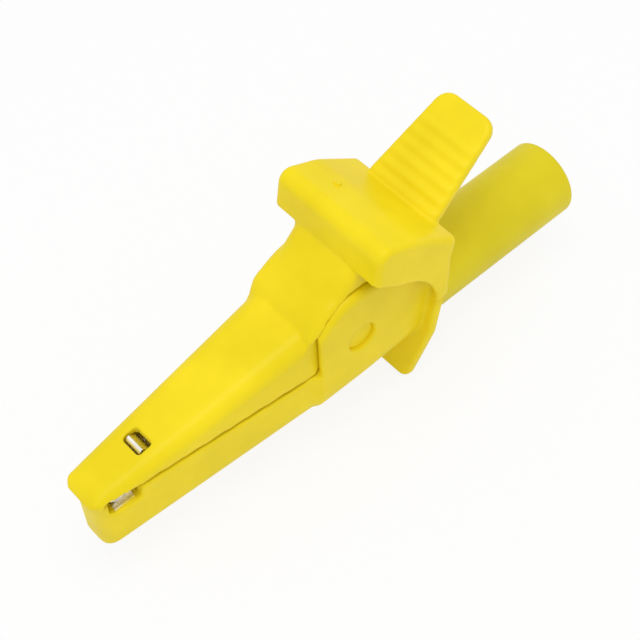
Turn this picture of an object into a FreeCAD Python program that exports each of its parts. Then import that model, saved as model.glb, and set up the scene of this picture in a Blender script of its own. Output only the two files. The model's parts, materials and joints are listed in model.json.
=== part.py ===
import FreeCAD, Part
import math
import os

# Fully insulated crocodile clip with a shrouded 4 mm socket in its rear barrel. Millimetres.
# Lengths along X are taken from the hinge, heights from the barrel's axis. The jaws point to low X,
# +Z is the thumb lever's side, and both halves are mirrored in Y. Each piece leaves with the origin
# moved to the centre of the socket's mouth.

# Socket and barrel
socket_bore = 4.0
socket_wall = 0.5
socket_depth = 21.5
lip_length = 1.5
sleeve_wall = 0.7
barrel_length = 27.9
barrel_d = 11.5
barrel_wall = 1.05
barrel_cavity = 20.0
mouth_round = 0.5
web_length = 4.0
spigot_d = 9.6
spigot_length = 5.0
spigot_wall = 1.0
spigot_room = 1.0
collar_d = 6.6
collar_length = 1.2
tail_length = 8.6
tail_width = 3.6
tail_thickness = 1.6

# Hinge
hinge_set = 13.6
pivot_z = 6.9
pin_d = 2.5
pin_fit = 0.02
pin_running = 0.05
pin_chamfer = 0.2
cap_d = 4.4
cap_thickness = 0.4
cap_sunk = 0.6
cap_fit = 0.05
cap_chamfer = 0.12

# Jaws in side view
jaw_reach = 41.5
lower_jaw_short = 1.0
beak_length = 2.0
beak_low_z = 5.2
gap_tip_z = 6.2
gap_root_z = 4.7
parting = 0.3
nose_slope_z = 6.7
chin_z = -4.6
jaw_front_low = -4.3
jaw_rear_low = -5.5
jaw_front_top = 6.6
jaw_rear_top = 13.2

# Cheeks and body
cheek_front_x = -7.0
cheek_radius = 9.3
cheek_rim = 1.2
cheek_gap = 0.2
body_low = -5.9
belly_radius = 6.4
shoulder_angle = 50.0
shoulder_run = 6.9
shoulder_round = 1.8
seat_top_z = 5.9

# Widths and walls
nose_half = 3.35
nose_round = 3.0
jaw_root_half = 5.9
cheek_half = 6.7
cheek_wall = 1.4
ear_half = 5.1
ear_wall = 1.2
ear_disc_d = 8.4
ear_front_x = -13.0
nose_wall = 1.0
shell_wall = 1.3
side_play = 0.15
swing = 15.0
rib = 1.0

# Lower guard
guard_half = 9.6
guard_wall = 1.0
guard_clearance = 0.2
guard_foot_half = 6.2
guard_foot_z = -12.4
guard_kink_z = -1.5
guard_top_drop = 0.9
guard_thickness = 1.5
guard_lean = 12.0
guard_round = 0.4

# Ramp and hood
ramp_front_x = -8.1
ramp_low_x = -6.8
ramp_low_z = 13.9
ramp_mid_x = -4.9
ramp_mid_z = 15.5
ramp_high_x = -2.7
ramp_high_z = 17.4
ramp_edge = 2.3
arch_radius = 10.8
arch_angle = 69.0
hood_front_x = -0.1
hood_front_z = 20.0
hood_peak_x = 0.9
hood_peak_z = 26.0
hood_knee_x = 7.2
hood_knee_z = 23.1
hood_knee_radius = 9.0
hood_rear_x = 14.1
hood_rear_z = 17.9
hood_round = 0.9
roof_wall = 1.4
rear_wall = 1.9
rear_wall_z = 9.8
tongue_z = 7.1
tongue_set = 1.2

# Thumb lever
lever_root_x = 10.5
lever_root_z = 17.5
lever_end_x = 25.1
lever_end_z = 26.8
lever_root_half = 6.1
lever_end_half = 4.5
lever_parallel = 3.5
lever_corner = 2.2
lever_thickness = 1.6
lever_round = 0.5
ridge_count = 6
ridge_pitch = 1.8
ridge_first = 3.4
ridge_radius = 0.9
ridge_height = 0.25
ridge_margin = 0.5

# Sheet metal contacts
sheet = 0.6
strip_set = 2.8
strip_half = 2.4
tab_half = 3.25
lower_strip_z = 3.9
upper_strip_z = 4.8
strip_taper_x = -20.5
strip_wide_x = -12.5
strip_waist_x = 3.9
bend_radius = 1.5
contact_ear_d = 5.4
tooth_pitch = 1.5
tooth_height = 0.75
tooth_land = 0.2
tooth_count = 9
tooth_set = 4.6
stake_d = 1.6
stake_head_d = 2.6
stake_head = 0.5
stake_post_d = 3.2
lower_stake_x = -22.5
upper_stake_x = -18.5
window_set = 10.0
window_length = 2.3
window_half = 1.7
window_corner = 0.3
hook_top_z = 8.55
notch_front_set = 2.5
notch_rear_set = 7.9
notch_slope = 1.0

# Spring, stops and rivet
wire_d = 0.8
coil_d = 5.0
coil_turns = 3
wire_gap = 0.08
leg_spare = 1.0
spring_rest_x = 4.5
spring_rest_z = 14.0
rest_half = 0.6
seat_play = 0.03
stop_x = 9.3
stop_z = 8.6
stop_inner = 3.2
rivet_d = 1.5
rivet_head_d = 2.8
rivet_head = 0.6
rivet_edge = 2.2

# Places that follow from the sizes above
beyond = 2 * jaw_reach
mouth_x = hinge_set + barrel_length
web_front_x = mouth_x - barrel_cavity - web_length
rivet_x = web_front_x - collar_length - tail_length + rivet_edge
seat_front_x = hinge_set - spigot_length - spigot_room
tip_x = -jaw_reach
lower_tip_x = tip_x + lower_jaw_short
beak_root_x = tip_x + beak_length
strip_front_x = tip_x + strip_set
first_tooth_x = tip_x + tooth_set
window_x = tip_x + window_set
notch_front_x = tip_x + notch_front_set
notch_rear_x = tip_x + notch_rear_set
upper_ear_outer = ear_half - ear_wall - side_play - 0.1
lower_ear_outer = upper_ear_outer - sheet - side_play
cap_floor = cheek_half - cap_sunk - cap_thickness


def vec(x, y, z):
    return FreeCAD.Vector(x, y, z)


AXIS_X, AXIS_Y = vec(1, 0, 0), vec(0, 1, 0)


def rounded_outline(corners, place):
    """Closed wire through corners (a, b) or (a, b, radius); place turns (a, b) into a point."""
    points = [FreeCAD.Vector(c[0], c[1], 0) for c in corners]
    radii = [c[2] if len(c) > 2 else 0.0 for c in corners]
    stops = []
    for i, point in enumerate(points):
        back = (points[i - 1] - point).normalize()
        ahead = (points[(i + 1) % len(points)] - point).normalize()
        if radii[i] == 0.0:
            stops.append((point, point, point))
            continue
        half = math.acos(max(-1.0, min(1.0, back.dot(ahead)))) / 2
        reach = radii[i] / math.tan(half)
        bisector = (back + ahead).normalize()
        middle = point + bisector * (radii[i] / math.sin(half) - radii[i])
        stops.append((point + back * reach, middle, point + ahead * reach))
    edges = []
    for i, (start, middle, end) in enumerate(stops):
        if (end - start).Length > 1e-6:
            arc = Part.Arc(place(start.x, start.y), place(middle.x, middle.y), place(end.x, end.y))
            edges.append(arc.toShape())
        follow = stops[(i + 1) % len(stops)][0]
        if (follow - end).Length > 1e-6:
            edges.append(Part.LineSegment(place(end.x, end.y), place(follow.x, follow.y)).toShape())
    return Part.Wire(edges)


def side_slab(corners, half, other=None):
    """Side-view outline (x, z) as a slab from -half to half, or from half to other, along Y."""
    low, high = (-half, half) if other is None else (half, other)
    wire = rounded_outline(corners, lambda a, b: vec(a, low, b))
    return Part.Face(wire).extrude(vec(0, high - low, 0))


def plan_slab(corners, low, high):
    """Plan outline (x, y) as a slab from z low to z high."""
    wire = rounded_outline(corners, lambda a, b: vec(a, b, low))
    return Part.Face(wire).extrude(vec(0, 0, high - low))


def mirrored(corners):
    """Plan outline from its low-Y half, which runs from front to back."""
    return corners + [(c[0], -c[1]) + tuple(c[2:]) for c in reversed(corners)]


def cross_section(x, half, low, high, low_radius, high_radius):
    """Upright rounded rectangle across the clip at x."""
    corners = [(-half, low, low_radius), (half, low, low_radius),
               (half, high, high_radius), (-half, high, high_radius)]
    return rounded_outline(corners, lambda a, b: vec(x, a, b))


def loft(sections, ruled=True):
    return Part.makeLoft([cross_section(*s) for s in sections], True, ruled)


def rod(radius, start, end):
    return Part.makeCylinder(radius, (end - start).Length, start, end - start)


def post(radius, x, low, high):
    """Upright cylinder on the clip's middle plane."""
    return rod(radius, vec(x, 0, low), vec(x, 0, high))


def tube_room(radius, start_x, end_x):
    """Cylinder along the barrel's axis."""
    return rod(radius, vec(start_x, 0, 0), vec(end_x, 0, 0))


def cross_rod(radius, half, other=None):
    """Cylinder round the hinge axis from -half to half, or from half to other."""
    low, high = (-half, half) if other is None else (half, other)
    return Part.makeCylinder(radius, high - low, vec(0, low, pivot_z), AXIS_Y)


def both_sides(shape):
    return shape.fuse(shape.mirror(vec(0, 0, 0), AXIS_Y))


def united(first, *rest):
    return first.multiFuse(list(rest)).removeSplitter()


def round_edges(shape):
    return [e for e in shape.Edges if e.Curve.TypeId == "Part::GeomCircle"]


def gap_z(x):
    """Height of the parting line between the two jaws."""
    share = (x - cheek_front_x) / (beak_root_x - cheek_front_x)
    return gap_root_z + (gap_tip_z - gap_root_z) * share


def nose_plan(front):
    """Plan of the blunt jaw tip, which both jaws are trimmed to."""
    return plan_slab(mirrored([(beyond, -guard_half), (front + 14.0, -guard_half), (front + 9.0, -nose_half - 1.0),
                               (front, -nose_half, nose_round)]), -beyond, beyond)


# Lower housing: fixed jaw, hinge cheeks and lower finger guard in one moulding

lower_sections = [(tip_x - 1.0, nose_half, jaw_front_low, jaw_rear_top, 1.9, 0.3),
                  (cheek_front_x + 0.5, jaw_root_half, jaw_rear_low, jaw_rear_top, 5.0, 0.3)]


def lower_jaw_outer():
    mouth = parting / 2
    top = [(lower_tip_x, -beyond), (lower_tip_x, beak_low_z - parting, 0.5),
           (beak_root_x + parting, beak_low_z - parting, 0.3),
           (beak_root_x + parting, gap_z(beak_root_x) - mouth, 0.4),
           (cheek_front_x + 1.0, gap_z(cheek_front_x) - mouth), (cheek_front_x + 1.0, -beyond)]
    chin = side_slab([(lower_tip_x, chin_z, 1.1), (lower_tip_x, beyond), (beyond, beyond), (beyond, -beyond),
                      (tip_x + 13.0, -beyond), (tip_x + 13.0, chin_z - 0.6)], guard_half)
    jaw = loft(lower_sections).common(side_slab(top, guard_half))
    return jaw.common(nose_plan(lower_tip_x)).common(chin)


def lower_jaw_room():
    """Trough behind the jaw's working face, open upwards."""
    inner = [(x, half - shell_wall, low + shell_wall, high + 3.0, low_r - shell_wall, high_r)
             for x, half, low, high, low_r, high_r in lower_sections]
    front, rear = tip_x + 4.2, cheek_front_x + 2.0
    floor = jaw_rear_low + shell_wall
    keep = side_slab([(front, beyond), (front, floor + 2.4, 1.0), (strip_taper_x, floor + 1.6, 2.0),
                      (cheek_front_x - 1.5, floor), (rear, floor), (rear, beyond)], guard_half)
    return loft(inner).common(keep)


def lower_body_outer():
    """Cheek discs on a body that draws in towards the barrel, with shoulders that fill the hood's arch."""
    section = cross_section(cheek_front_x, cheek_half, body_low, beyond, belly_radius, 0.3)
    prism = Part.Face(section).extrude(vec(hinge_set - cheek_front_x, 0, 0))
    disc = cross_rod(cheek_radius, cheek_half)
    disc = disc.makeFillet(cheek_rim, round_edges(disc))
    body = loft([(cheek_front_x, cheek_half, body_low, seat_top_z, belly_radius, 0.3),
                 (0, cheek_half, body_low, seat_top_z, belly_radius, 0.3),
                 (hinge_set, cheek_half, body_low + 0.5, seat_top_z, belly_radius + 0.2, 0.3)])
    turn = math.radians(shoulder_angle)
    top_x, top_z = cheek_radius * math.cos(turn), pivot_z + cheek_radius * math.sin(turn)
    rear_x, rear_z = top_x + shoulder_run * math.sin(turn), top_z - shoulder_run * math.cos(turn)
    shoulder = side_slab([(0, pivot_z), (top_x, top_z), (rear_x, rear_z, shoulder_round),
                          (hinge_set - 1.2, seat_top_z - 0.5), (0, seat_top_z - 0.5)], cheek_half)
    return united(prism.common(disc), body, shoulder)


def flare():
    """Short slope from the jaw's side out to the cheek, below the parting line."""
    near = cross_section(cheek_front_x - 1.2, jaw_root_half - 0.1, body_low + 0.5, pivot_z, 5.3, 0.3)
    far = cross_section(cheek_front_x, cheek_half, body_low, pivot_z, belly_radius, 0.3)
    slope = Part.makeLoft([near, far], True, True)
    cut_z = gap_z(cheek_front_x) - parting / 2
    keep = side_slab([(-beyond, -beyond), (-beyond, cut_z), (cheek_front_x, cut_z), (cheek_front_x, -beyond)],
                     guard_half)
    return slope.common(keep)


def lower_guard():
    """Leaning plate that stops the finger; it is narrow enough to pass between the hood's end walls."""
    half = guard_half - guard_wall - guard_clearance
    outline = mirrored([(guard_foot_z, -guard_foot_half, 1.8), (guard_kink_z, -half, 3.0),
                        (pivot_z - guard_top_drop, -half, 1.5)])
    front = hinge_set - guard_thickness
    plate = Part.Face(rounded_outline(outline, lambda a, b: vec(front, b, a)))
    plate = plate.extrude(vec(guard_thickness, 0, 0))
    faces = [e for e in plate.Edges if abs(e.BoundBox.XMax - e.BoundBox.XMin) < 1e-6]
    plate = plate.makeFillet(guard_round, faces)
    plate.rotate(vec(hinge_set, 0, pivot_z), AXIS_Y, guard_lean)
    return plate


def lower_housing():
    shell = united(lower_jaw_outer(), lower_body_outer(), flare(), lower_guard())
    inner_half = cheek_half - cheek_wall
    trough_front_x = cheek_front_x - 1.5
    body_section = cross_section(trough_front_x, inner_half, body_low + cheek_wall, beyond,
                                 belly_radius - cheek_wall, 0.3)
    body_trough = Part.Face(body_section).extrude(vec(seat_front_x - trough_front_x, 0, 0))
    above_seat = side_slab([(seat_front_x - 1.0, seat_top_z), (seat_front_x - 1.0, beyond), (beyond, beyond),
                            (beyond, seat_top_z)], inner_half)
    bed_z = lower_strip_z - sheet
    strip_bed = side_slab([(strip_front_x - 0.1, beyond), (strip_front_x - 0.1, bed_z), (strip_taper_x, bed_z),
                           (strip_taper_x, beyond)], strip_half + 0.1)
    shell = shell.cut(above_seat).cut(lower_jaw_room()).cut(body_trough).cut(strip_bed)
    # ribs that carry the contact strip
    for i in range(3):
        x = tip_x + 6.5 + 4.5 * i
        slab = side_slab([(x, jaw_front_low + 1.3), (x, bed_z), (x + rib, bed_z), (x + rib, jaw_front_low + 1.3)], 3.2)
        shell = shell.fuse(slab.common(loft(lower_sections)))
    foot = post(stake_post_d / 2, lower_stake_x, jaw_rear_low + 2.1, bed_z)
    pin = post(stake_d / 2, lower_stake_x, bed_z, lower_strip_z)
    head = post(stake_head_d / 2, lower_stake_x, lower_strip_z, lower_strip_z + stake_head)
    shell = united(shell, foot, pin, head)
    # side notches through which the working faces reach a thin wire
    notch = side_slab([(notch_front_x, beyond), (notch_front_x, bed_z, 0.2), (notch_rear_x - notch_slope, bed_z, 0.2),
                       (notch_rear_x, pivot_z + 2.0), (notch_rear_x, beyond)], strip_half - 0.4, guard_half)
    shell = shell.cut(both_sides(notch))
    # hinge pin holes, with counterbores for the caps
    shell = shell.cut(cross_rod(pin_d / 2 + pin_fit, guard_half))
    shell = shell.cut(both_sides(cross_rod(cap_d / 2 + cap_fit, cap_floor, guard_half)))
    # bore for the barrel's spigot
    return shell.cut(tube_room(spigot_d / 2 + pin_fit, seat_front_x - 2.0, hinge_set + 2.0))


# Upper housing: moving jaw, hinge ears, hooded finger guard and thumb lever in one moulding

upper_sections = [(tip_x - 1.5, nose_half, jaw_front_low - 3.7, jaw_front_top, 0.3, 1.7),
                  (cheek_front_x + 0.5, jaw_root_half, jaw_front_low - 3.7, jaw_rear_top, 0.3, 2.6)]


def upper_jaw_outer():
    mouth = parting / 2
    rear_x = cheek_front_x + 0.3
    side = [(tip_x, beyond), (tip_x, beak_low_z, 1.4), (beak_root_x, beak_low_z, 0.4),
            (beak_root_x, gap_z(beak_root_x) + mouth, 0.4), (rear_x, gap_z(rear_x) + mouth),
            (rear_x, jaw_rear_top - 0.7), (ramp_front_x, jaw_rear_top - 0.3), (ramp_front_x, beyond)]
    nose = side_slab([(tip_x, nose_slope_z, 3.0), (tip_x, -beyond), (beyond, -beyond), (beyond, beyond),
                      (tip_x + 23.0, beyond), (tip_x + 11.0, nose_slope_z + 2.7)], guard_half)
    jaw = loft(upper_sections).common(side_slab(side, guard_half)).common(nose)
    return jaw.common(nose_plan(tip_x))


def upper_jaw_room():
    inner = [(x, half - nose_wall, low - 3.0, high - shell_wall, low_r, high_r - nose_wall)
             for x, half, low, high, low_r, high_r in upper_sections]
    front = tip_x + 3.4
    keep = side_slab([(front, -beyond), (front, beyond), (beyond, beyond), (beyond, -beyond)], guard_half)
    return loft(inner).common(keep)


def jaw_section(x):
    """The upper jaw's own section at x, so that the ramp grows out of it without a step."""
    (x0, *first), (x1, *last) = upper_sections
    share = (x - x0) / (x1 - x0)
    return [a + (b - a) * share for a, b in zip(first, last)]


def ramp():
    """Skin between the jaw and the hood, an S in side view and concentric with the hinge inside."""
    half, _, top, _, edge = jaw_section(ramp_front_x)
    profile = [(ramp_front_x, top), (ramp_low_x, ramp_low_z), (ramp_mid_x, ramp_mid_z), (ramp_high_x, ramp_high_z),
               (hood_front_x, hood_front_z), (hood_front_x + 1.0, hood_front_z + 0.8)]
    sections = []
    for x, height in profile:
        share = min(1.0, (x - ramp_front_x) / (ramp_high_x - ramp_front_x))
        sections.append((x, half + (jaw_root_half - half) * share, pivot_z, height, 0.3, edge + (ramp_edge - edge) * share))
    return loft(sections).cut(cross_rod(cheek_radius + cheek_gap, guard_half))


def hood():
    outer = side_slab([(hood_front_x, pivot_z), (hood_front_x, hood_front_z, 3.0), (hood_peak_x, hood_peak_z, 1.8),
                       (hood_knee_x, hood_knee_z, hood_knee_radius), (hood_rear_x, hood_rear_z, 1.2),
                       (hood_rear_x - 0.9, hood_rear_z - 3.2, 2.0), (hood_rear_x - tongue_set, tongue_z, 1.0),
                       (0.8 * cheek_radius, tongue_z)], guard_half)
    outer = outer.makeFillet(hood_round, [e for e in outer.Edges if abs(abs(e.CenterOfMass.y) - guard_half) < 1e-6])
    front = hood_front_x + guard_wall
    room = side_slab([(front, -beyond), (front, hood_front_z, 2.0), (hood_peak_x + guard_wall, hood_peak_z - 1.6, 0.6),
                      (hood_knee_x - 0.6, hood_knee_z - roof_wall, hood_knee_radius - 1.0),
                      (hood_rear_x - rear_wall, hood_rear_z - 1.0, 1.0), (hood_rear_x - rear_wall, rear_wall_z),
                      (beyond, rear_wall_z), (beyond, -beyond)], guard_half - guard_wall)
    # the end walls' lower edge: an arch round the hinge that runs on straight to the front wall
    turn = math.radians(arch_angle)
    run_on = side_slab([(0, pivot_z), (arch_radius * math.cos(turn), pivot_z + arch_radius * math.sin(turn)),
                        (hood_front_x, hood_front_z), (-beyond, hood_front_z), (-beyond, pivot_z)], guard_half + 1.0)
    return outer.cut(room).cut(cross_rod(arch_radius, guard_half + 1.0)).cut(run_on)


def ears():
    """Two plates inside the cheeks, from the jaw's sides round the pin and up to the hood's roof."""
    mouth = parting / 2 + 0.05
    low_x = cheek_front_x - 2.0
    plate = side_slab([(ear_front_x, gap_z(ear_front_x) + mouth), (ear_front_x, 10.3), (cheek_front_x - 1.0, 11.6),
                       (ramp_low_x, 12.7), (ramp_high_x, 15.8), (0.5, 18.0), (2.3, 22.4), (5.5, 22.0), (3.9, 8.0),
                       (1.5, 4.6), (low_x + 2.5, 4.6), (low_x, gap_z(low_x) + mouth)], ear_half - ear_wall, ear_half)
    disc = cross_rod(ear_disc_d / 2, ear_half - ear_wall, ear_half)
    return both_sides(plate.fuse(disc))


def lever():
    """Tapered blade with six low grip ridges and two ribs under its root."""
    root = vec(lever_root_x, 0, lever_root_z)
    run = vec(lever_end_x, 0, lever_end_z) - root
    length = run.Length
    run = run.normalize()
    down = vec(run.z, 0, -run.x)
    outline = mirrored([(-1.2, -lever_root_half), (lever_parallel, -lever_root_half),
                        (length, -lever_end_half, lever_corner)])
    blade = Part.Face(rounded_outline(outline, lambda a, b: root + run * a + AXIS_Y * b))
    blade = blade.extrude(down * lever_thickness)
    rims = [e for e in blade.Edges
            if e.CenterOfMass.x > lever_root_x and abs((e.lastVertex().Point - e.firstVertex().Point).dot(down)) < 1e-6]
    blade = blade.makeFillet(lever_round, rims)
    for i in range(ridge_count):
        along = ridge_first + ridge_pitch * i
        spot = root + run * along + down * (ridge_radius - ridge_height)
        share = max(0.0, (along - lever_parallel) / (length - lever_parallel))
        reach = lever_root_half + (lever_end_half - lever_root_half) * share - ridge_margin
        blade = blade.fuse(rod(ridge_radius, spot - AXIS_Y * reach, spot + AXIS_Y * reach))
    gusset = side_slab([(lever_root_x, lever_root_z - 0.8), (lever_root_x + 9.5, lever_root_z + 4.8),
                        (lever_root_x + 9.0, lever_root_z + 4.0), (lever_root_x + 1.8, lever_root_z - 2.0)], 2.4, 3.6)
    return blade.fuse(both_sides(gusset))


def upper_housing():
    roof_z = hood_knee_z + 0.4
    rest = side_slab([(spring_rest_x - rest_half, spring_rest_z), (spring_rest_x + rest_half, spring_rest_z),
                      (spring_rest_x + rest_half + 0.3, roof_z), (spring_rest_x - rest_half - 0.3, roof_z)],
                     ear_half - 0.5)
    # webs under the hood that land on the lower housing's seat when the jaws are fully open
    stop = side_slab([(stop_x - rest_half, stop_z), (stop_x + rest_half, stop_z), (stop_x + rest_half, hood_knee_z - 2.6),
                      (stop_x - rest_half, hood_knee_z - 1.6)], stop_inner, stop_inner + 1.2)
    jaw = upper_jaw_outer().cut(upper_jaw_room())
    shell = united(jaw, ramp(), hood(), ears(), lever(), rest, both_sides(stop))
    # the jaw's sides stop short of the cheeks all through the swing, and only the ears pass inside them
    front = cheek_front_x - cheek_gap
    lean = (beyond - pivot_z) * math.tan(math.radians(swing))
    beside = side_slab([(front, -beyond), (front, pivot_z - 1.0), (front - lean, beyond - 1.0), (beyond, beyond - 1.0),
                        (beyond, -beyond)], ear_half, guard_half)
    disc = cross_rod(cheek_radius + cheek_gap, guard_half)
    shell = shell.cut(both_sides(beside.common(disc)))
    # ceiling ribs and the stake that hold the contact strip
    top = upper_strip_z + sheet
    for x in (window_x - 4.3, window_x + 4.0):
        slab = side_slab([(x, top), (x, pivot_z + 2.1), (x + rib, pivot_z + 2.1), (x + rib, top)], 2.8)
        shell = shell.fuse(slab.common(loft(upper_sections)))
    foot = post(stake_post_d / 2, upper_stake_x, top, jaw_rear_top - 2.7)
    pin = post(stake_d / 2, upper_stake_x, upper_strip_z, top)
    head = post(stake_head_d / 2, upper_stake_x, upper_strip_z - stake_head, upper_strip_z)
    shell = united(shell, foot, pin, head)
    front, rear = window_x - window_length / 2, window_x + window_length / 2
    window = plan_slab(mirrored([(front, -window_half, window_corner), (rear, -window_half, window_corner)]),
                       pivot_z - 0.9, beyond)
    return shell.cut(window).cut(cross_rod(pin_d / 2 + pin_running, guard_half))


# Rear barrel and the socket in it

def socket_barrel():
    outer = tube_room(barrel_d / 2, hinge_set, mouth_x)
    outer = outer.makeFillet(mouth_round, [e for e in round_edges(outer) if e.CenterOfMass.x > mouth_x - 0.01])
    spigot = tube_room(spigot_d / 2, hinge_set - spigot_length, hinge_set)
    cavity = tube_room(barrel_d / 2 - barrel_wall, mouth_x - barrel_cavity, mouth_x + 1.0)
    front_room = tube_room(spigot_d / 2 - spigot_wall, seat_front_x, web_front_x)
    through = tube_room(socket_bore / 2 + socket_wall + sleeve_wall + pin_fit, seat_front_x, mouth_x + 1.0)
    return united(outer, spigot).cut(cavity).cut(front_room).cut(through)


def contact_sleeve():
    radius = socket_bore / 2 + socket_wall
    tube = tube_room(radius + sleeve_wall, web_front_x, mouth_x)
    bore = tube_room(radius + pin_fit, web_front_x - 1.0, mouth_x - lip_length)
    return tube.cut(bore).cut(tube_room(socket_bore / 2, web_front_x, mouth_x + 1.0))


def socket_contact():
    shoulder_x = web_front_x - collar_length
    tube = tube_room(socket_bore / 2 + socket_wall, shoulder_x, mouth_x - lip_length)
    collar = tube_room(collar_d / 2, shoulder_x, web_front_x)
    tail = Part.makeBox(tail_length, tail_width, tail_thickness,
                        vec(shoulder_x - tail_length, -tail_width / 2, -tail_thickness / 2))
    bore = tube_room(socket_bore / 2, mouth_x - socket_depth, mouth_x)
    hole = post(rivet_d / 2 + pin_fit, rivet_x, -tail_width, tail_width)
    return united(tube, collar, tail).cut(bore).cut(hole)


# Pressed metal jaws

def teeth(base_z, direction, first_x):
    """Row of cross teeth standing on the strip's working face."""
    peak, foot = base_z + direction * tooth_height, base_z - direction * sheet / 2
    bars = []
    for i in range(tooth_count):
        x = first_x + tooth_pitch * i
        front, rear = x - tooth_pitch / 2, x + tooth_pitch / 2
        bars.append(side_slab([(front, base_z), (x - tooth_land / 2, peak), (x + tooth_land / 2, peak), (rear, base_z),
                               (rear, foot), (front, foot)], strip_half))
    return bars


def strip_plan(rear_x):
    """Plan of a contact's working strip, which widens to the ears."""
    return [(rear_x, -lower_ear_outer), (strip_wide_x, -lower_ear_outer), (strip_taper_x, -strip_half),
            (strip_front_x, -strip_half, 1.2)]


def lower_jaw_contact():
    floor = -tail_thickness / 2
    end_x = rivet_x + 1.8
    path = [(strip_front_x, lower_strip_z - sheet), (strip_front_x, lower_strip_z),
            (strip_taper_x + 0.4, lower_strip_z, bend_radius), (strip_wide_x, floor, bend_radius), (end_x, floor),
            (end_x, floor - sheet), (strip_wide_x - 0.2, floor - sheet, bend_radius),
            (strip_taper_x + 0.1, lower_strip_z - sheet, bend_radius)]
    strip = side_slab(path, lower_ear_outer)
    waist = tail_width / 2
    plan = plan_slab(mirrored([(beyond, -waist), (strip_waist_x + 1.6, -waist, 0.5)] + strip_plan(strip_waist_x)),
                     -beyond, beyond)
    inner = lower_ear_outer - sheet
    ear_plate = side_slab([(-5.0, floor - sheet), (-2.5, pivot_z - 1.0), (2.9, pivot_z - 1.0), (strip_waist_x, floor - sheet)],
                          inner, lower_ear_outer)
    ear_disc = cross_rod(contact_ear_d / 2, inner, lower_ear_outer)
    # tabs that fill the housing's side notches
    tab_front, tab_rear = strip_front_x + 0.4, notch_rear_x - notch_slope - 0.6
    tab = side_slab([(tab_front, lower_strip_z - sheet), (tab_front, lower_strip_z), (tab_rear, lower_strip_z),
                     (tab_rear, lower_strip_z - sheet)], tab_half)
    metal = united(strip.common(plan), tab, both_sides(ear_plate.fuse(ear_disc)), *teeth(lower_strip_z, 1, first_tooth_x))
    metal = metal.cut(cross_rod(pin_d / 2 + pin_fit, guard_half))
    metal = metal.cut(post(stake_d / 2 + pin_fit, lower_stake_x, 0, pivot_z))
    return metal.cut(post(rivet_d / 2 + pin_fit, rivet_x, -pivot_z, pivot_z))


def upper_jaw_contact():
    low, high = upper_strip_z, upper_strip_z + sheet
    ear = upper_ear_outer
    rear_x = cheek_front_x + 1.0
    strip = side_slab([(strip_front_x, low), (strip_front_x, high), (rear_x, high), (rear_x, low)], ear)
    plan = plan_slab(mirrored([(rear_x, -ear), (strip_wide_x, -ear), (strip_taper_x, -strip_half),
                               (strip_front_x, -strip_half, 1.2)]), -beyond, beyond)
    ear_plate = side_slab([(strip_wide_x + 1.0, low), (strip_wide_x + 2.5, low + 3.2), (-1.0, pivot_z + 2.6), (1.0, pivot_z),
                           (-1.0, low - 0.4), (-4.5, low)], ear - sheet, ear)
    ear_disc = cross_rod(contact_ear_d / 2, ear - sheet, ear)
    # hooked tab under the jaw's window
    front = window_x - window_length / 2 + 0.3
    tab = side_slab([(front, low), (front, hook_top_z - 0.55, 0.2), (front + 0.5, hook_top_z, 0.2),
                     (front + 1.75, hook_top_z - 1.05), (front + 1.4, hook_top_z - 1.55),
                     (front + sheet, hook_top_z - 0.85), (front + sheet, low)], window_half - 0.3)
    hole = side_slab([(front + sheet, low - 1.0), (front + sheet, low + 1.0), (front + 2.6, low + 1.0),
                      (front + 2.6, low - 1.0)], window_half - 0.2)
    metal = united(strip.common(plan).cut(hole), both_sides(ear_plate.fuse(ear_disc)), tab,
                   *teeth(low, -1, first_tooth_x - tooth_pitch / 2))
    metal = metal.cut(cross_rod(pin_d / 2 + pin_running, guard_half))
    return metal.cut(post(stake_d / 2 + pin_fit, upper_stake_x, 0, jaw_rear_top))


# Hinge hardware, spring and rivet

def pivot_pin():
    pin = cross_rod(pin_d / 2, cap_floor)
    return pin.makeChamfer(pin_chamfer, round_edges(pin))


def pivot_cap(side):
    top = cap_floor + cap_thickness
    cap = cross_rod(cap_d / 2, cap_floor, top)
    cap = cap.makeChamfer(cap_chamfer, [e for e in round_edges(cap) if e.CenterOfMass.y > top - 0.01])
    return cap if side > 0 else cap.mirror(vec(0, 0, 0), AXIS_Y)


def leg_angle(corner_x, corner_z, side):
    """Angle round the coil where a leg leaves it to lie on a corner; side +1 runs over the coil."""
    rise = corner_z - pivot_z
    return math.degrees(math.atan2(rise, corner_x)
                        + side * math.acos((coil_d / 2 + seat_play) / math.hypot(corner_x, rise)))


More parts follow.
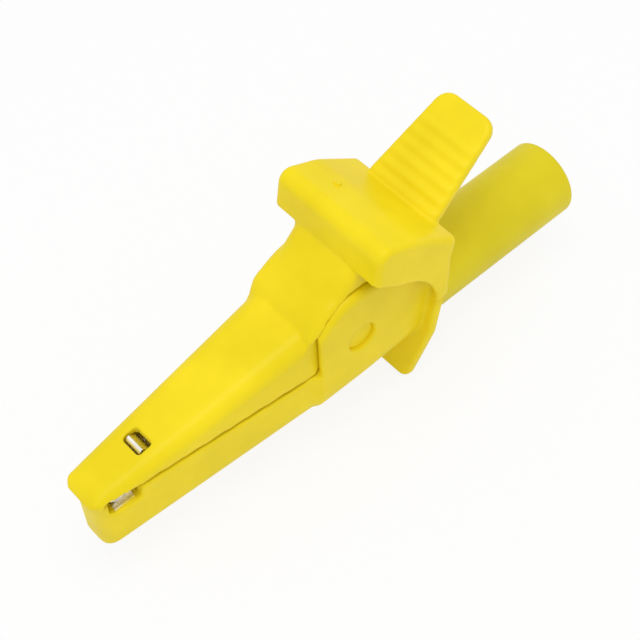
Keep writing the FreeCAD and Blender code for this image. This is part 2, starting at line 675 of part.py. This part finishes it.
def torsion_spring():
    """Coil round the pin; the first leg lifts the upper housing's rest, the last one lies on the seat."""
    radius = (coil_d - wire_d) / 2
    rest_x = spring_rest_x + rest_half
    start = leg_angle(rest_x, spring_rest_z, 1)
    end = leg_angle(seat_front_x, seat_top_z, -1) + 360 * coil_turns
    pitch = wire_d + wire_gap
    height = pitch * (end - start) / 360
    rise = pitch / (2 * math.pi * radius)

    def station(angle, y):
        turn = math.radians(angle)
        spot = vec(radius * math.cos(turn), y, pivot_z + radius * math.sin(turn))
        return spot, vec(-math.sin(turn), rise, math.cos(turn)).normalize()

    helix = Part.makeHelix(pitch, height, radius)
    # turned so that it runs from +X towards +Z as it goes along +Y
    helix = helix.mirror(vec(0, 0, 0), AXIS_Y)
    helix.rotate(vec(0, 0, 0), AXIS_X, -90)
    helix.rotate(vec(0, 0, 0), AXIS_Y, -start)
    helix.translate(vec(0, -height / 2, pivot_z))
    first, along_first = station(start, -height / 2)
    last, along_last = station(end, height / 2)
    ring = Part.Wire(Part.makeCircle(wire_d / 2, first, along_first))
    coil = Part.Wire(helix.Edges).makePipeShell([ring], True, True)
    upper_reach = math.hypot(rest_x - first.x, spring_rest_z - first.z) + leg_spare
    lower_reach = math.hypot(seat_front_x - last.x, seat_top_z - last.z) + leg_spare
    upper_leg = rod(wire_d / 2, first - along_first * upper_reach, first)
    lower_leg = rod(wire_d / 2, last, last + along_last * lower_reach)
    return coil.multiFuse([upper_leg, lower_leg])


def contact_rivet():
    low, high = -tail_thickness / 2 - sheet, tail_thickness / 2
    shank = post(rivet_d / 2, rivet_x, low - rivet_head, high + rivet_head)
    lower_head = post(rivet_head_d / 2, rivet_x, low - rivet_head, low)
    upper_head = post(rivet_head_d / 2, rivet_x, high, high + rivet_head)
    return united(shank, lower_head, upper_head)


nodes = {
    "lower_housing": lower_housing,
    "upper_housing": upper_housing,
    "socket_barrel": socket_barrel,
    "contact_sleeve": contact_sleeve,
    "socket_contact": socket_contact,
    "lower_jaw_contact": lower_jaw_contact,
    "upper_jaw_contact": upper_jaw_contact,
    "pivot_pin": pivot_pin,
    "pivot_cap_left": lambda: pivot_cap(1),
    "pivot_cap_right": lambda: pivot_cap(-1),
    "torsion_spring": torsion_spring,
    "contact_rivet": contact_rivet,
}

os.makedirs("parts", exist_ok=True)
for name, build in nodes.items():
    shape = build()
    print(name, "solids", len(shape.Solids), "valid", shape.isValid(), "volume", round(shape.Volume, 1))
    if len(shape.Solids) == 1:
        shape = shape.Solids[0]
    shape.translate(vec(-mouth_x, 0, 0))
    shape.exportStep("parts/" + name + ".step")
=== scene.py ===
import json
import math

import bpy
from mathutils import Matrix, Vector


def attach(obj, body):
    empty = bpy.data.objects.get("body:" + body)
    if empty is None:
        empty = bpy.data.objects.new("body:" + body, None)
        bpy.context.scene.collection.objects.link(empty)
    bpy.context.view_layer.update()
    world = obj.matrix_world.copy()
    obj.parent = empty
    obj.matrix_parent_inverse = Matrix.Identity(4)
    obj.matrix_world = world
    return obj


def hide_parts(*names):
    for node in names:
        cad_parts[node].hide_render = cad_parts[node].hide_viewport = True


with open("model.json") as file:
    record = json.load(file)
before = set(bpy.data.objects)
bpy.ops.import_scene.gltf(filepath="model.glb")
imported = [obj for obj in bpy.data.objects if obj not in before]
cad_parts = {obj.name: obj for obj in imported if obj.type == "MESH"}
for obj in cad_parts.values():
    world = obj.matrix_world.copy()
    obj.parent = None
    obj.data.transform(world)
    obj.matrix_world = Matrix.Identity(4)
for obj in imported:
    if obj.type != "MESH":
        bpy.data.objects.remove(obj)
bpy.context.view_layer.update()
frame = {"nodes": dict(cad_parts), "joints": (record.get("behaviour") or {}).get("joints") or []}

# The camera looks down on the clip from its front left, a little rolled, from about 21 cm away.
# Its frame is the photograph's, 640 by 640.
azimuth = math.radians(-38.784)
elevation = math.radians(54.103)
roll = math.radians(-3.700)
frame_px = 640
focal_px = 1574.5
sensor_mm = 36.0
aim = Vector((-0.040, 0.0, 0.0))
aim_across, aim_up = 0.0024369, -0.0015023
distance = 0.21252

back = Vector((math.sin(azimuth) * math.cos(elevation),
               -math.cos(azimuth) * math.cos(elevation),
               math.sin(elevation)))
level = Vector((math.cos(azimuth), math.sin(azimuth), 0.0))
upright = back.cross(level)
across = math.cos(roll) * level + math.sin(roll) * upright
above = -math.sin(roll) * level + math.cos(roll) * upright
lens = bpy.data.cameras.new("camera")
lens.sensor_width = sensor_mm
lens.lens = focal_px * sensor_mm / frame_px
lens.clip_start = 0.01
camera = bpy.data.objects.new("camera", lens)
stand = Matrix.Translation(aim - across * aim_across - above * aim_up + back * distance)
camera.matrix_world = stand @ Matrix((across, above, back)).transposed().to_4x4()
bpy.context.collection.objects.link(camera)
bpy.context.scene.camera = camera
bpy.context.scene.view_settings.view_transform = "Standard"


# White table in a white tent: paper that shines white to the eye, and still takes the clip's shadow. The
# tent gives the even light, and one soft square lamp above and in front of the clip gives the highlights.
tent_light = 0.78
table_glow = 0.85
table_size = 1.6
table_z = -0.0126
lamp_place = Vector((-0.08, -0.05, 0.34))
lamp_width = 0.16
lamp_watts = 0.34
white = (1.0, 1.0, 1.0, 1.0)
object_coordinates = 3


class Socket:
    """One output in a node tree, so that shader maths reads as sums and products."""

    def __init__(self, tree, output=None):
        self.tree = tree
        self.output = output

    def node(self, kind, settings=None, inputs=None, take=0):
        made = self.tree.nodes.new(kind)
        for name, value in (settings or {}).items():
            if name == "stops":
                ramp = made.color_ramp.elements
                while len(ramp) < len(value):
                    ramp.new(0.5)
                for element, (place, colour) in zip(ramp, value):
                    element.position = place
                    element.color = colour
            else:
                setattr(made, name, value)
        for name, value in (inputs or {}).items():
            if isinstance(value, Socket):
                self.tree.links.new(value.output, made.inputs[name])
            else:
                made.inputs[name].default_value = value
        return Socket(self.tree, made.outputs[take])

    def maths(self, operation, first, second):
        return self.node("ShaderNodeMath", {"operation": operation}, {0: first, 1: second})

    def __add__(self, other):
        return self.maths("ADD", self, other)

    def __radd__(self, other):
        return self.maths("ADD", other, self)

    def __sub__(self, other):
        return self.maths("SUBTRACT", self, other)

    def __rsub__(self, other):
        return self.maths("SUBTRACT", other, self)

    def __mul__(self, other):
        return self.maths("MULTIPLY", self, other)

    def __rmul__(self, other):
        return self.maths("MULTIPLY", other, self)


world = bpy.data.worlds.new("tent")
world.use_nodes = True
tent = world.node_tree.nodes["Background"]
tent.inputs["Color"].default_value = white
rays = world.node_tree.nodes.new("ShaderNodeLightPath")
start = Socket(world.node_tree)
seen = start.maths("MAXIMUM", Socket(world.node_tree, rays.outputs["Is Camera Ray"]),
                   Socket(world.node_tree, rays.outputs["Is Glossy Ray"]))
seen = start.maths("MAXIMUM", seen, Socket(world.node_tree, rays.outputs["Is Transmission Ray"]))
strength = seen * (1.0 - tent_light) + tent_light
world.node_tree.links.new(strength.output, tent.inputs["Strength"])
bpy.context.scene.world = world

bpy.ops.mesh.primitive_plane_add(size=table_size, location=(aim.x, 0.0, table_z))
table = bpy.context.object
table.name = "table"
paper = bpy.data.materials.new("table_paper")
paper.use_nodes = True
tree = paper.node_tree
start = Socket(tree)
place = start.node("ShaderNodeTexCoord", take=object_coordinates)
fibres = start.node("ShaderNodeTexNoise", inputs={"Vector": place, "Scale": 240.0, "Detail": 4.0})
shell = tree.nodes["Principled BSDF"]
shell.inputs["Base Color"].default_value = (0.92, 0.92, 0.92, 1.0)
shell.inputs["Roughness"].default_value = 0.8
shell.inputs["Specular IOR Level"].default_value = 0.1
bump = start.node("ShaderNodeBump", inputs={"Strength": 0.03, "Distance": 0.0002, "Height": fibres})
tree.links.new(bump.output, shell.inputs["Normal"])
rays = tree.nodes.new("ShaderNodeLightPath")
glow = start.node("ShaderNodeEmission", inputs={"Color": white, "Strength": 1.0})
share = Socket(tree, rays.outputs["Is Camera Ray"]) * table_glow
lit = start.node("ShaderNodeMixShader", inputs={"Fac": share, 1: Socket(tree, shell.outputs[0]), 2: glow})
tree.links.new(lit.output, tree.nodes["Material Output"].inputs["Surface"])
table.data.materials.append(paper)

lamp = bpy.data.lights.new("key_lamp", "AREA")
lamp.shape = "SQUARE"
lamp.size = lamp_width
lamp.energy = lamp_watts
holder = bpy.data.objects.new("key_lamp", lamp)
holder.location = lamp_place
holder.rotation_euler = (lamp_place - aim).to_track_quat("Z", "Y").to_euler()
bpy.context.collection.objects.link(holder)


# Rear barrel: one yellow polyamide moulding, the touch-proof shroud of the 4 mm socket, pressed by its
# spigot into the lower housing. Its skin is the fine matt of a spark-eroded mould.
def moulded_plastic(name, colour):
    """Satin coloured polyamide: faint flow clouds in the colour, the mould's fine matt as bump."""
    cloud_scale, wave_scale, skin_scale = 85.0, 330.0, 5200.0
    satin, cloud_gloss, skin_gloss = 0.42, 0.14, 0.08
    relief_strength, relief_depth, wave_share = 0.10, 0.00003, 0.8
    deep_share, pale_share, pale_lift = 0.93, 1.03, 0.004
    made = bpy.data.materials.new(name)
    made.use_nodes = True
    tree = made.node_tree
    start = Socket(tree)
    place = start.node("ShaderNodeTexCoord", take=object_coordinates)
    clouds = start.node("ShaderNodeTexNoise", inputs={"Vector": place, "Scale": cloud_scale,
                                                      "Detail": 3.0, "Roughness": 0.55})
    skin = start.node("ShaderNodeTexNoise", inputs={"Vector": place, "Scale": skin_scale,
                                                    "Detail": 2.0, "Roughness": 0.6})
    waves = start.node("ShaderNodeTexNoise", inputs={"Vector": place, "Scale": wave_scale, "Detail": 2.0})
    deep = [c * deep_share for c in colour] + [1.0]
    pale = [min(1.0, c * pale_share + pale_lift) for c in colour] + [1.0]
    tint = start.node("ShaderNodeValToRGB", {"stops": [(0.36, deep), (0.64, pale)]}, {"Fac": clouds})
    gloss = satin + (clouds - 0.5) * cloud_gloss + (skin - 0.5) * skin_gloss
    relief = start.node("ShaderNodeBump", inputs={"Strength": relief_strength, "Distance": relief_depth,
                                                  "Height": skin + waves * wave_share})
    shell = tree.nodes["Principled BSDF"]
    shell.inputs["Specular IOR Level"].default_value = 0.17
    tree.links.new(tint.output, shell.inputs["Base Color"])
    tree.links.new(gloss.output, shell.inputs["Roughness"])
    tree.links.new(relief.output, shell.inputs["Normal"])
    return made


# painted shade: the barrel's yellow is a darker copy of the housings' yellow, standing in for the shade the
# barrel lies in behind the lever
barrel_shaded_yellow = moulded_plastic("barrel_polyamide_shaded", (0.75, 0.625, 0.011))
frame["nodes"]["socket_barrel"].data.materials[0] = barrel_shaded_yellow


# Lower housing: fixed jaw, hinge cheeks and finger guard, one moulding of yellow polyamide. A mould leaves
# no sharp edge, so the CAD shape is rebuilt on a fine grid and eased, which rounds every edge a little.
# Pockets inside the cheeks take the moving jaw's webs, and the parting line is opened a little.
yellow = moulded_plastic("yellow_polyamide", (0.90, 0.705, 0.006))
hinge = Vector(frame["joints"][0]["pos_m"])
grid = 0.00022
merge_within = 0.000001
ease_strength, ease_passes = 0.5, 4
most_triangles = 180000
band_steps = 24
pocket_in, pocket_out = 0.0059, 0.0096
pocket_inner, pocket_outer = 0.0050, 0.00590
pocket_start, pocket_turn = math.radians(193.0), math.radians(-72.0)
parting_place = (-0.0650, 0.0, 0.00529)
parting_slope = math.radians(2.64)
parting_size = (0.0294, 0.0140, 0.0006)


def only(*pieces):
    """Select these pieces alone, the first one active."""
    bpy.ops.object.select_all(action="DESELECT")
    for piece in pieces:
        piece.select_set(True)
    bpy.context.view_layer.objects.active = pieces[0]


def merged(piece):
    """Go into edit mode on the piece, with its doubles merged and all of it selected."""
    only(piece)
    bpy.ops.object.mode_set(mode="EDIT")
    bpy.ops.mesh.select_all(action="SELECT")
    bpy.ops.mesh.remove_doubles(threshold=merge_within)


def applied(piece, name, kind, **settings):
    """Add a modifier to the piece and apply it."""
    modifier = piece.modifiers.new(name, kind)
    for setting, value in settings.items():
        setattr(modifier, setting, value)
    only(piece)
    bpy.ops.object.modifier_apply(modifier=name)


def swept(name, near, far, low, high, start, turn, rows):
    """Band round the hinge: a section from radius near to far and y low to high, spun from start."""
    bpy.ops.object.select_all(action="DESELECT")
    bpy.ops.mesh.primitive_grid_add(x_subdivisions=1, y_subdivisions=rows, size=2.0, location=hinge)
    band = bpy.context.object
    band.name = name
    bpy.ops.object.transform_apply(location=True)
    bpy.ops.object.mode_set(mode="EDIT")
    bpy.ops.transform.resize(value=((far - near) / 2, (high - low) / 2, 1.0), center_override=hinge)
    bpy.ops.transform.translate(value=((near + far) / 2, (low + high) / 2, 0.0))
    bpy.ops.object.mode_set(mode="OBJECT")
    to_start = Matrix.Rotation(-start, 4, "Y")
    band.data.transform(Matrix.Translation(hinge) @ to_start @ Matrix.Translation(-hinge))
    only(band)
    bpy.ops.object.mode_set(mode="EDIT")
    bpy.ops.mesh.select_all(action="SELECT")
    bpy.ops.mesh.spin(steps=band_steps, angle=turn, center=hinge, axis=(0.0, 1.0, 0.0))
    bpy.ops.object.mode_set(mode="OBJECT")
    return band


def closed(band):
    """Merge the band's doubles, close its open end and turn its faces outwards."""
    merged(band)
    bpy.ops.mesh.select_all(action="DESELECT")
    bpy.ops.mesh.select_non_manifold(extend=False)
    bpy.ops.mesh.fill_holes(sides=0)
    bpy.ops.mesh.select_all(action="SELECT")
    bpy.ops.mesh.normals_make_consistent(inside=False)
    bpy.ops.object.mode_set(mode="OBJECT")


def both(name, near, far, inner, outer, start, turn):
    """The same closed band on either side of the clip."""
    bands = []
    for side in (-1, 1):
        low, high = sorted((side * inner, side * outer))
        band = swept(name, near, far, low, high, start, turn, 1)
        closed(band)
        bands.append(band)
    return bands


def softened(name, node, grown=(), cuts=()):
    """Copy of a CAD housing with a moulding's soft edges, less the cuts and with further forms grown on."""
    mesh = frame["nodes"][node].data.copy()
    mesh.name = name
    piece = bpy.data.objects.new(name, mesh)
    bpy.context.collection.objects.link(piece)
    merged(piece)
    bpy.ops.object.mode_set(mode="OBJECT")
    for cut in cuts:
        applied(piece, "cut", "BOOLEAN", operation="DIFFERENCE", object=cut, solver="EXACT")
        bpy.data.objects.remove(cut)
    if grown:
        only(piece, *grown)
        bpy.ops.object.join()
    applied(piece, "rebuild", "REMESH", mode="VOXEL", voxel_size=grid, adaptivity=0.0)
    applied(piece, "ease", "SMOOTH", factor=ease_strength, iterations=ease_passes)
    return piece


def finished(piece):
    """Thin the piece to the faces that its curves need, and give it the housings' plastic."""
    triangles = sum(len(face.vertices) - 2 for face in piece.data.polygons)
    applied(piece, "thin", "DECIMATE", ratio=min(1.0, most_triangles / triangles))
    only(piece)
    bpy.ops.object.shade_smooth()
    piece.data.materials.clear()
    piece.data.materials.append(yellow)


bpy.ops.object.select_all(action="DESELECT")
bpy.ops.mesh.primitive_cube_add(size=1.0, location=parting_place, rotation=(0.0, parting_slope, 0.0))
parting = bpy.context.object
parting.name = "parting_gap"
parting.scale = parting_size
bpy.ops.object.transform_apply(location=True, rotation=True, scale=True)
pockets = both("cheek_pocket", pocket_in, pocket_out, pocket_inner, pocket_outer, pocket_start, pocket_turn)
lower = softened("lower_moulding", "lower_housing", cuts=pockets + [parting])
finished(lower)
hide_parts("lower_housing")
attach(lower, "clip_body")


# Upper housing: moving jaw, ramp, hooded finger guard and thumb lever, the second yellow moulding. The
# ramp's flanks lie close over the cheeks, a foot closes the hood's underside, and webs carry the jaw's
# sides on into the cheeks' pockets.
flank_in, flank_out = 0.00948, 0.01004
flank_wide, flank_narrow = 0.0064, 0.0058
flank_edge, flank_drop = 0.0053, 0.00050
flank_lead, flank_lead_share = 0.07, 0.2
flank_start, flank_turn = math.radians(146.0), math.radians(-46.0)
foot_in, foot_out, foot_half = 0.00948, 0.01300, 0.0058
foot_start, foot_turn = math.radians(90.0), math.radians(-12.0)
web_in, web_out = 0.0062, 0.0098
web_inner, web_outer = 0.0042, 0.00572
web_start, web_turn = math.radians(191.0), math.radians(-51.0)

flanks = swept("ramp_flanks", flank_in, flank_out, -flank_wide, flank_wide, flank_start, flank_turn, 24)
for corner in flanks.data.vertices:
    arm = corner.co - hinge
    along = (flank_start - math.atan2(arm.z, arm.x)) / -flank_turn
    edge = max(0.0, (abs(arm.y) - flank_edge) / (flank_wide - flank_edge))
    fall = 1.0 - flank_drop * edge * edge / math.hypot(arm.x, arm.z)
    lead = flank_lead * max(0.0, 1.0 - along / flank_lead_share)
    corner.co.x = hinge.x + arm.x * fall
    corner.co.z = hinge.z + arm.z * fall
    corner.co.y *= 1.0 + (flank_narrow / flank_wide - 1.0) * along - lead
closed(flanks)
foot = swept("hood_foot", foot_in, foot_out, -foot_half, foot_half, foot_start, foot_turn, 1)
closed(foot)
webs = both("ear_web", web_in, web_out, web_inner, web_outer, web_start, web_turn)
upper = softened("upper_moulding", "upper_housing", grown=[flanks, foot] + webs)

# the ramp is one smooth S and the lever's ridges are low, so both skins are eased further
ramp_front, ramp_rear, ramp_half, ramp_foot = -0.0500, -0.0429, 0.0052, 0.0186
ramp_outward, ramp_passes = 0.6, 60
ridge_front, ridge_rear = -0.0295, -0.0172
ridge_normal = Vector((-0.537, 0.0, 0.844))
ridge_outward, ridge_passes = 0.75, 8


def on_ramp(corner):
    """Whether a corner lies on the ramp's outer skin, from its foot to the hood."""
    arm = corner.co - hinge
    outward = (arm.x * corner.normal.x + arm.z * corner.normal.z) / math.hypot(arm.x, arm.z)
    lengthwise = ramp_front < corner.co.x < ramp_rear and corner.co.z > ramp_foot
    return lengthwise and abs(corner.co.y) < ramp_half and outward > ramp_outward


def on_ridges(corner):
    """Whether a corner lies on the lever's ridged face."""
    return ridge_front < corner.co.x < ridge_rear and corner.normal.dot(ridge_normal) > ridge_outward


def eased(piece, name, chosen, passes):
    """Smooth only the skin that chosen picks."""
    skin = piece.vertex_groups.new(name=name)
    skin.add([corner.index for corner in piece.data.vertices if chosen(corner)], 1.0, "REPLACE")
    applied(piece, name, "SMOOTH", factor=ease_strength, iterations=passes, vertex_group=name)


eased(upper, "ramp", on_ramp, ramp_passes)
eased(upper, "ridges", on_ridges, ridge_passes)
finished(upper)

# the gate mark: a low round scar where the runner was nipped off the hood, with a dished middle
gate_place = Vector((-0.03565, 0.00388, 0.02372))
gate_lean = math.radians(24.7)
gate_d, gate_height, gate_sunk = 0.0011, 0.00024, 0.00020
gate_round, gate_rim, gate_slope, gate_dish = 0.6, 0.12, 0.14, 0.3
nearly_up, straight_up, gate_top = 0.9, 0.99, 0.9


def pick_faces(piece, chosen):
    """Select the faces that chosen picks, and no others, and stay in edit mode."""
    bpy.ops.object.mode_set(mode="EDIT")
    bpy.ops.mesh.select_mode(type="FACE")
    bpy.ops.mesh.select_all(action="DESELECT")
    bpy.ops.object.mode_set(mode="OBJECT")
    for face in piece.data.polygons:
        face.select = chosen(face)
    bpy.ops.object.mode_set(mode="EDIT")


bpy.ops.object.select_all(action="DESELECT")
bpy.ops.mesh.primitive_cylinder_add(vertices=48, radius=gate_d / 2, depth=gate_height + gate_sunk,
                                    location=(0.0, 0.0, (gate_height - gate_sunk) / 2))
gate = bpy.context.object
gate.name = "gate_mark"
bpy.ops.object.transform_apply(location=True)
pick_faces(gate, lambda face: face.normal.z > nearly_up)
bpy.ops.mesh.bevel(offset=gate_height * gate_round, segments=3)
pick_faces(gate, lambda face: face.normal.z > straight_up and face.center.z > gate_height * gate_top)
bpy.ops.mesh.inset(thickness=gate_d * gate_rim)
bpy.ops.mesh.inset(thickness=gate_d * gate_slope)
bpy.ops.transform.translate(value=(0.0, 0.0, -gate_height * gate_dish))
bpy.ops.object.mode_set(mode="OBJECT")
gate.data.transform(Matrix.Translation(gate_place) @ Matrix.Rotation(gate_lean, 4, "Y"))
only(gate)
bpy.ops.object.shade_smooth_by_angle(angle=math.radians(35.0))
gate.data.materials.append(yellow)
only(upper, gate)
bpy.ops.object.join()
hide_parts("upper_housing")
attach(upper, "clip_lever")


# Hinge caps and contact sleeve: small mouldings of the housings' plastic. The caps are pressed into the
# cheeks over the pin's ends, and the sleeve insulates the socket in the barrel's mouth.
for node in ("pivot_cap_left", "pivot_cap_right", "contact_sleeve"):
    frame["nodes"][node].data.materials[0] = yellow


# Contacts: the jaws' strips are pressed from nickel-plated brass, bent and toothed, and the turned socket
# is riveted to the lower one. The plating is bright, with the fine lines of rolled strip.
def bright_metal(name, colour, roughness):
    """Bright metal with fine lines along the clip and a faint haze."""
    line_scale = (400.0, 9000.0, 9000.0)
    haze_scale, haze_gloss, haze_share, line_gloss = 600.0, 0.16, 0.86, 0.10
    line_strength, line_depth = 0.25, 0.00001
    made = bpy.data.materials.new(name)
    made.use_nodes = True
    tree = made.node_tree
    start = Socket(tree)
    place = start.node("ShaderNodeTexCoord", take=object_coordinates)
    drawn = start.node("ShaderNodeMapping", inputs={"Vector": place, "Scale": line_scale})
    rolling = start.node("ShaderNodeTexNoise", inputs={"Vector": drawn, "Scale": 1.0, "Detail": 3.0})
    haze = start.node("ShaderNodeTexNoise", inputs={"Vector": place, "Scale": haze_scale, "Detail": 3.0})
    dull = [c * haze_share for c in colour] + [1.0]
    clear = list(colour) + [1.0]
    tint = start.node("ShaderNodeValToRGB", {"stops": [(0.35, dull), (0.65, clear)]}, {"Fac": haze})
    gloss = roughness + (haze - 0.5) * haze_gloss + (rolling - 0.5) * line_gloss
    relief = start.node("ShaderNodeBump", inputs={"Strength": line_strength, "Distance": line_depth,
                                                  "Height": rolling})
    shell = tree.nodes["Principled BSDF"]
    shell.inputs["Metallic"].default_value = 1.0
    tree.links.new(tint.output, shell.inputs["Base Color"])
    tree.links.new(gloss.output, shell.inputs["Roughness"])
    tree.links.new(relief.output, shell.inputs["Normal"])
    return made


nickel = bright_metal("nickel_plate", (0.93, 0.90, 0.84), 0.27)
for node in ("lower_jaw_contact", "upper_jaw_contact", "socket_contact", "contact_rivet"):
    frame["nodes"][node].data.materials[0] = nickel


# Hinge pin and spring: a turned steel pin through cheeks and ears, and a torsion spring of drawn steel
# wire wound round it. Both are left bright.
steel = bright_metal("bright_steel", (0.58, 0.58, 0.60), 0.30)
for node in ("pivot_pin", "torsion_spring"):
    frame["nodes"][node].data.materials[0] = steel
